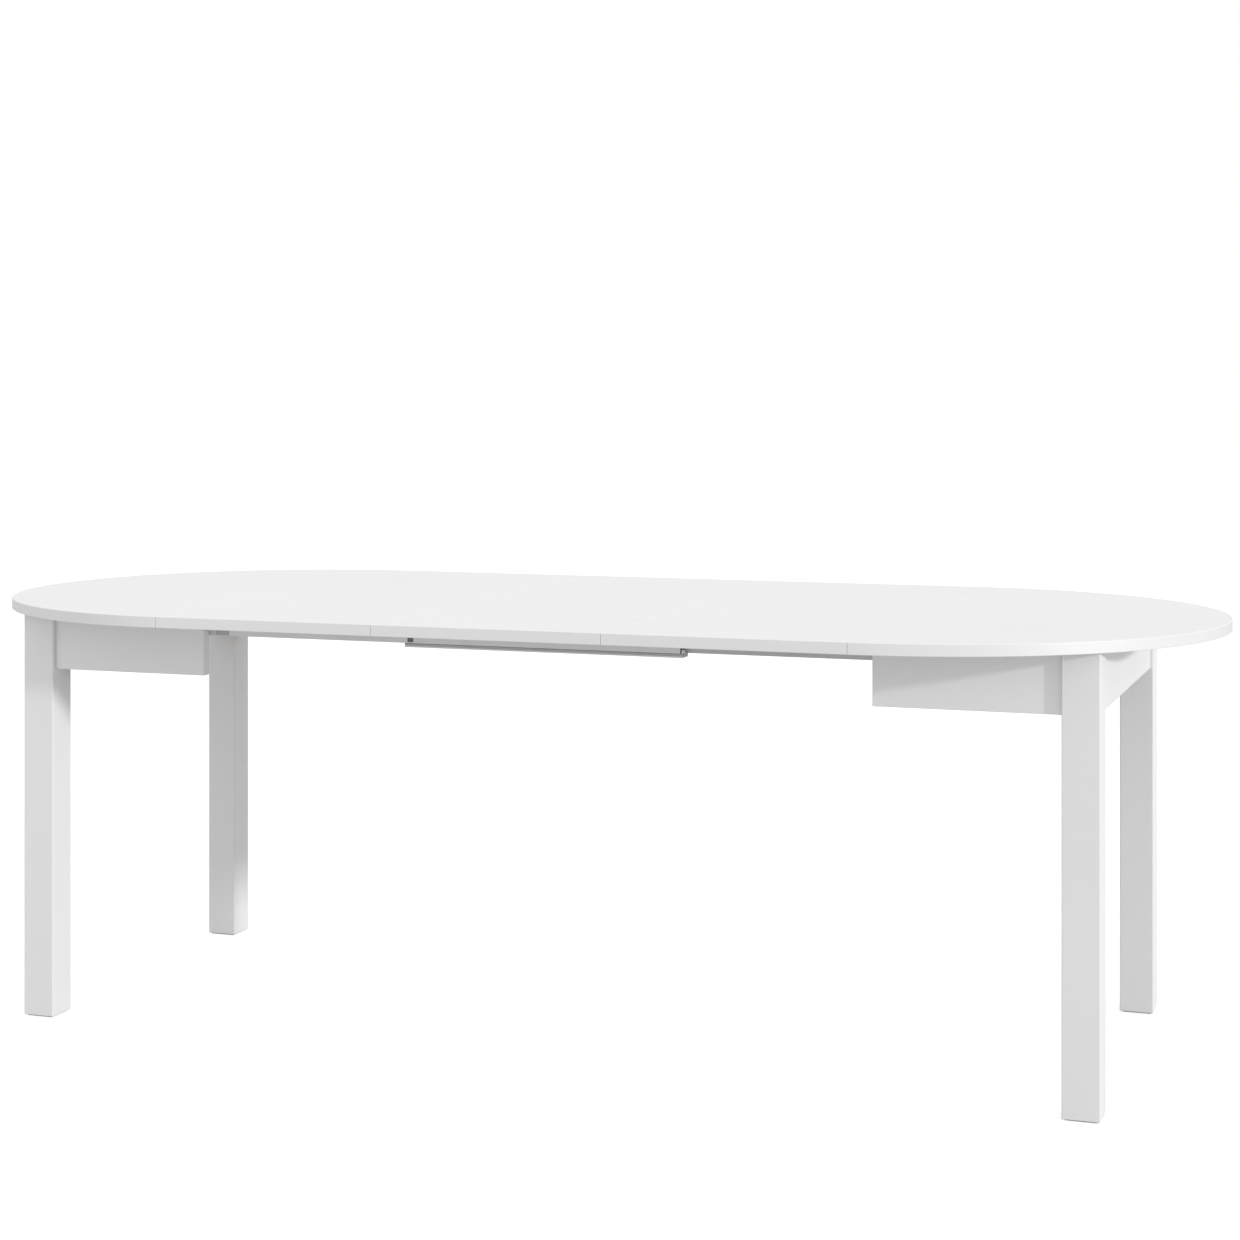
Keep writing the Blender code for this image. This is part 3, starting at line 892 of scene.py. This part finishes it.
def brace(label, x_side, y_side):
    """A corner brace with mitred ends, its edges eased."""
    node = f"{label}_brace"
    low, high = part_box(node)
    inner, inward, across = corner_axes(label, x_side, y_side)
    far_x = abs((high.x if x_side > 0 else low.x) - inner.x)
    far_y = abs((high.y if y_side > 0 else low.y) - inner.y)
    corners = []
    for i, limit in ((BRACE_NEAR, 1), (BRACE_FAR, 1), (BRACE_FAR, -1), (BRACE_NEAR, -1)):
        room = far_x if (across * limit).dot(Vector((x_side, 0.0, 0.0))) > 0 else far_y
        reach = min(room * math.sqrt(2) + i, BRACE_HALF)
        corners.append((limit * reach, i, room))
    outline = []
    for k, (a, i, room) in enumerate(corners):
        outline.append((a, i))
        bend = BRACE_HALF - room * math.sqrt(2)
        if k in (0, 2):
            other = 1 if a > 0 else -1
            outline.append((other * BRACE_HALF, bend))
    near_right, bend_right, far_right = outline[0], outline[1], outline[2]
    far_left, bend_left, near_left = outline[3], outline[4], outline[5]
    ordered = [near_left, near_right, bend_right, far_right, far_left, bend_left]
    shape = bmesh.new()
    eased = 0.0012
    small = shrink(ordered, eased)
    rings = []
    for points, z in ((small, low.z), (ordered, low.z + eased), (ordered, high.z - eased), (small, high.z)):
        ring = [inner + across * a + inward * i for a, i in points]
        rings.append([(p.x, p.y, z) for p in ring])
    skin(shape, rings)
    make_piece(node + "_timber", shape, "beech", body_of(node), (node,), smooth_below=20.0)


def hex_reach(radius):
    """The polar reach of a hexagon whose corners lie at radius."""
    def reach(angle):
        fold = (angle % (math.pi / 3)) - math.pi / 6
        return radius * math.cos(math.pi / 6) / math.cos(fold)
    return reach


def hanger_bolt(label, x_side, y_side):
    """A threaded bolt through the brace into the leg, with its washer and hexagon nut."""
    node = f"{label}_hanger_bolt"
    low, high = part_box(node)
    inner, inward, across = corner_axes(label, x_side, y_side)
    height = (low.z + high.z) / 2
    seat = inner + inward * BRACE_FAR
    seat.z = height
    turn = turn_to(inward)
    shape = bmesh.new()
    rings = []
    start, end = -(BRACE_FAR + BOLT_IN_LEG) + 0.0006, NUT_SEAT + WASHER_HEIGHT + NUT_HEIGHT + BOLT_TAIL
    threads = int((end - start) / THREAD_PITCH)
    for k in range(threads):
        at = start + k * THREAD_PITCH
        rings.append((THREAD_ROOT, at))
        rings += [(BOLT_RADIUS, at + 0.4 * THREAD_PITCH), (BOLT_RADIUS, at + 0.6 * THREAD_PITCH)]
    rings += [(THREAD_ROOT, start + threads * THREAD_PITCH), (THREAD_ROOT * 0.8, end)]
    turned(shape, seat, turn, rings, 20)
    washer = NUT_SEAT
    top = washer + WASHER_HEIGHT
    rings = ((WASHER_RADIUS - 0.0002, washer), (WASHER_RADIUS, washer + 0.0002),
             (WASHER_RADIUS, top - 0.0002), (WASHER_RADIUS - 0.0002, top))
    turned(shape, seat, turn, rings, 40)
    nut = washer + WASHER_HEIGHT + TINY
    chamfer = NUT_RADIUS * 0.90
    flats = hex_reach(NUT_RADIUS)
    top = nut + NUT_HEIGHT

    def corner(angle):
        return min(flats(angle), NUT_RADIUS * 0.96)

    rings = ((chamfer, nut), (corner, nut + 0.0004), (flats, nut + 0.0009), (flats, top - 0.0011),
             (corner, top - 0.0006), (chamfer, top - 0.0002), (NUT_RADIUS * 0.62, top - 0.0002))
    turned(shape, seat, turn, rings, 48)
    make_piece(node + "_assembly", shape, "zinc_steel", body_of(node), (node,), smooth_below=30.0)


def foot_glide(node):
    """A felt pad with soft, slightly bulging sides."""
    low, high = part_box(node)
    middle, half = middle_of(node)
    shape = bmesh.new()
    rings = []
    profile = ((0.0008, 0.0), (0.0003, 0.15), (0.0, 0.4), (0.0, 0.7), (0.0004, 0.9), (0.0009, 1.0))
    for inset, level in profile:
        outline = rounded_rectangle(half.x, half.y, 0.003, inset, 6)
        rings.append([(x + middle.x, y + middle.y, low.z + (high.z - low.z) * level) for x, y in outline])
    skin(shape, rings)
    make_piece(node + "_pad", shape, "felt", body_of(node), (node,))


# ---------------------------------------------------------------- build

def build():
    make_camera()
    make_world()
    make_key()
    make_floor()
    bpy.context.scene.view_settings.view_transform = "Standard"
    for index in LEAVES:
        straight_board(f"leaf_{index}_board", "Z", RIM_ROUND, CORNER_ROUND, BAND, ("white_top", "white_edge"),
                       SEAM_CRISP)
        cleat(f"leaf_{index}_cleat")
    for side, x_side in SIDES:
        half_top(f"{side}_top", x_side)
        straight_board(f"{side}_end_apron", "X", APRON_ROUND, APRON_ROUND * 1.2, APRON_BAND,
                           ("white_laminate", "white_laminate"))
    for row, y_side in ROWS:
        for side, x_side in SIDES:
            label = f"{row}_{side}"
            leg(f"{label}_leg")
            foot_glide(f"{label}_glide")
            straight_board(f"{label}_side_apron", "Y", APRON_ROUND, APRON_ROUND * 1.2, APRON_BAND,
                           ("white_laminate", "white_laminate"))
            brace(label, x_side, y_side)
            hanger_bolt(label, x_side, y_side)
            seam_plate(f"{label}_seam_plate")
            # The right rails take the darker aluminium copy: painted shade for the shadow under the boards.
            rail(f"{label}_rail", "aluminium" if side == "left" else "aluminium_painted_shade")
            top_bracket(f"{label}_top_bracket", x_side)
        runner_middle(f"{row}_runner_middle")
        for end in ("outer", "inner"):
            glide_strip(f"{row}_runner_{end}_strip")
            stop(f"{row}_runner_{end}_stop")
        pad(f"{row}_left_seam_pad", y_side, "grey_nylon")
        pad(f"{row}_left_mouth_pad", y_side, "black_plastic")
        rail_block(f"{row}_right_rail_block")


build()
remember_size("shown")
